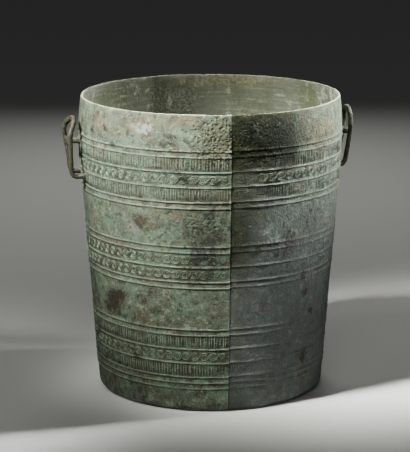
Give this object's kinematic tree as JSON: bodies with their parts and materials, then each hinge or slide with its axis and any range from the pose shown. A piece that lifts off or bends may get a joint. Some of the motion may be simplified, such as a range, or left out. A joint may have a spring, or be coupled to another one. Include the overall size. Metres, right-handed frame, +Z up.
{
  "type": "bronze situla",
  "caption": "Ancient cast bronze bucket, open at the top, with raised relief bands, a casting seam and upright loop handles at the sides.",
  "frame": {"origin": "middle of the flat underside", "axes": "+Z up along the bucket's axis, +X and -X through the two handles"},
  "size_m": [0.3085, 0.28, 0.312],
  "materials": {
    "bucket_bronze": "weathered bronze with a matt grey-green patina and brown patches",
    "handle_bronze": "weathered bronze with a dark olive-brown patina"
  },
  "bodies": {
    "root": {"bucket": "bucket_bronze", "handle_left": "handle_bronze", "handle_right": "handle_bronze"}
  },
  "joints": []
}
